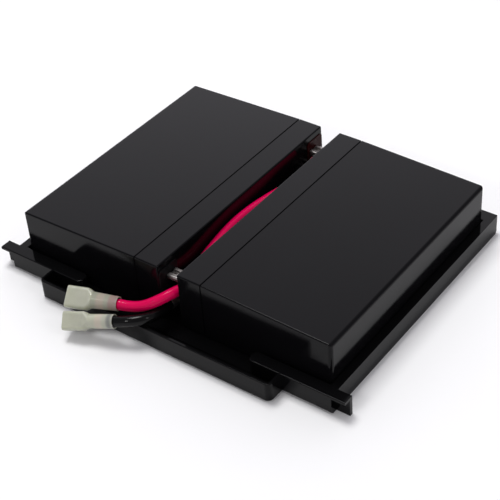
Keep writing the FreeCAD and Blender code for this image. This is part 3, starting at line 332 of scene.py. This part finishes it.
def nylon(name, housing, wire_end, wire_way, inside):
    """Milky nylon, tinted where the metal and the insulation inside show through it; the crimp's tint is
    partly a painted highlight.
    """
    skin, tree, shader, place = new_material(
        name, Transmission_Weight=0.24, IOR=1.42, Subsurface_Weight=0.45,
        Subsurface_Radius=(0.0030, 0.0032, 0.0022), Subsurface_Scale=1.0,
        Coat_Weight=0.35, Coat_Roughness=0.12)
    offset = Socket.add(tree, "ShaderNodeVectorMath", {"operation": "SUBTRACT"},
                        {0: place, 1: metres(wire_end)})
    along = Socket.add(tree, "ShaderNodeVectorMath", {"operation": "DOT_PRODUCT"},
                       {0: offset, 1: wire_way}, "Value")
    tint = blend_colours(noise(place, scale=220.0), NYLON_LOW, NYLON_HIGH)
    for first, last, strength, shade in inside:
        mask = fade(along, first, 0.0, 1.0) * fade(along, last, 1.0, 0.0)
        tint = blend_colours(strength * mask, tint, shade)
    drive(shader, "Base Color", tint)
    drive(shader, "Roughness", noise(place, scale=260.0).between(0.30, 0.44))
    drive(shader, "Normal", bump(noise(place, scale=240.0, detail=1.0), depth=0.03 * MM))
    housing.data.materials.clear()
    housing.data.materials.append(skin)


nylon("red_housing_nylon", red_housing, RED_ROUTE[-1], RED_WAY, RED_INSIDE)
nylon("black_housing_nylon", nodes["black_connector_housing"], BLACK_ROUTE[-1], BLACK_WAY, BLACK_INSIDE)


# ---------------------------------------------------------------- cells and tape
# Inside each jar are three cells of cast lead plates with glass mats between them. Strips of white foam tape
# hold the blocks to the tray's floor.

LEAD_DARK = (0.16, 0.17, 0.19, 1.0)
LEAD_FRESH = (0.26, 0.27, 0.29, 1.0)
plate_lead, tree, shader, place = new_material("plate_lead", Metallic=0.8)
drive(shader, "Base Color", blend_colours(noise(place, scale=200.0), LEAD_DARK, LEAD_FRESH))
drive(shader, "Roughness", noise(place, scale=500.0).between(0.50, 0.75))

MAT_GREY = (0.70, 0.70, 0.67, 1.0)
MAT_WHITE = (0.84, 0.84, 0.82, 1.0)
glass_mat, tree, shader, place = new_material("glass_mat", Roughness=0.95)
drive(shader, "Base Color", blend_colours(noise(place, scale=900.0), MAT_GREY, MAT_WHITE))

FOAM_GREY = (0.62, 0.62, 0.58, 1.0)
FOAM_WHITE = (0.80, 0.80, 0.77, 1.0)
foam_tape, tree, shader, place = new_material("foam_tape", Roughness=0.9)
drive(shader, "Base Color", blend_colours(noise(place, scale=1500.0), FOAM_GREY, FOAM_WHITE))

for side in ("left", "right"):
    dress(foam_tape, side + "_tapes")
    for number in (1, 2, 3):
        cell = f"{side}_cell_{number}_"
        dress(plate_lead, cell + "positive_plates", cell + "negative_plates")
        dress(glass_mat, cell + "separators")


# ---------------------------------------------------------------- floor
# A pale paper floor, wide enough for every view. It is a shade darker for the light that it throws on the
# object than for the camera, a polished surface or a clear one, which see it white.

FLOOR_WIDTH = 12.0
PAPER_LIT = (0.80, 0.80, 0.80, 1.0)
PAPER_SEEN = (0.99, 0.99, 0.99, 1.0)

bpy.ops.object.select_all(action="DESELECT")
bpy.ops.mesh.primitive_plane_add(size=FLOOR_WIDTH, location=(0.0, 0.0, 0.0))
floor = bpy.context.object
floor.name = "floor"
paper, tree, shader, place = new_material("floor_paper", Roughness=0.9, Specular_IOR_Level=0.05)
straight, mirrored, through = (Socket.add(tree, "ShaderNodeLightPath", output=ray) for ray in
                               ("Is Camera Ray", "Is Glossy Ray", "Is Transmission Ray"))
seen = straight.at_least(mirrored).at_least(through)
drive(shader, "Base Color", blend_colours(seen, PAPER_LIT, PAPER_SEEN))
floor.data.materials.append(paper)


# ---------------------------------------------------------------- light
# A dim even studio, with a broad glow at the back left that the polished tops mirror and a pale band at the
# horizon. A soft lamp hangs overhead, and two small ones stand in front and at the right.

STUDIO_COLOUR = (0.96, 0.94, 1.0, 1.0)
STUDIO_DIM = 0.36
GLOW = 1.78
GLOW_WAY = (-0.46, 0.85, 0.26)
GLOW_TIGHTNESS = 6.0
BAND = 0.9              # how far the horizon goes from the studio's own light to 1
BAND_TOP = 0.25         # the sine of the height at which the band ends
LAMPS = (               # name, place and width in metres, power in watts
    ("overhead", (-0.40, 0.12, 1.54), 0.6, 13.6),
    ("front", (-0.02, -0.93, 0.75), 0.09, 1.1),
    ("right", (0.93, -0.12, 0.75), 0.12, 1.0))

studio = bpy.data.worlds.new("studio")
bpy.context.scene.world = studio
studio.use_nodes = True
tree = studio.node_tree
background = tree.nodes["Background"]
background.inputs["Color"].default_value = STUDIO_COLOUR
way = Socket.add(tree, "ShaderNodeTexCoord", output="Generated")
facing = Socket.add(tree, "ShaderNodeVectorMath", {"operation": "DOT_PRODUCT"}, {0: way, 1: GLOW_WAY},
                    "Value")
studio_light = STUDIO_DIM + GLOW * facing.at_least(0.0).power(GLOW_TIGHTNESS)
height = Socket.add(tree, "ShaderNodeSeparateXYZ", {}, {0: way}, "Z")
band = Socket.add(tree, "ShaderNodeMapRange", {}, {0: height, 1: 0.0, 2: BAND_TOP, 3: BAND, 4: 0.0})
drive(background, "Strength", band.between(studio_light, 1.0))

for name, spot, width, power in LAMPS:
    lamp = bpy.data.lights.new(name, "AREA")
    lamp.size = width
    lamp.energy = power
    stand = bpy.data.objects.new(name, lamp)
    bpy.context.scene.collection.objects.link(stand)
    stand.location = spot
    stand.rotation_euler = (-Vector(spot)).to_track_quat("-Z", "Y").to_euler()


# ---------------------------------------------------------------- camera
# A long lens looks down on the cartridge from the front right. It is rolled a little, and its picture is
# shifted to one side.

AZIMUTH = math.radians(36.32)
ELEVATION = math.radians(38.82)
ROLL = math.radians(-2.83)
DISTANCE = 722.84 * MM
TARGET = Vector((34.82, -2.18, 20.0)) * MM
FOCAL_LENGTH = 97.18
SENSOR_WIDTH = 36.0
SHIFT = -0.1
NEAREST = 0.05

back = Vector((math.sin(AZIMUTH) * math.cos(ELEVATION), -math.cos(AZIMUTH) * math.cos(ELEVATION),
               math.sin(ELEVATION)))
level = Vector((math.cos(AZIMUTH), math.sin(AZIMUTH), 0.0))
right = level * math.cos(ROLL) + back.cross(level) * math.sin(ROLL)
view = Matrix((right, back.cross(right), back)).transposed().to_4x4()
view.translation = TARGET + back * DISTANCE
lens = bpy.data.cameras.new("camera")
lens.lens = FOCAL_LENGTH
lens.sensor_width = SENSOR_WIDTH
lens.shift_x = SHIFT
lens.clip_start = NEAREST
camera = bpy.data.objects.new("camera", lens)
camera.matrix_world = view
bpy.context.scene.collection.objects.link(camera)
bpy.context.scene.camera = camera
bpy.context.scene.view_settings.view_transform = "Standard"
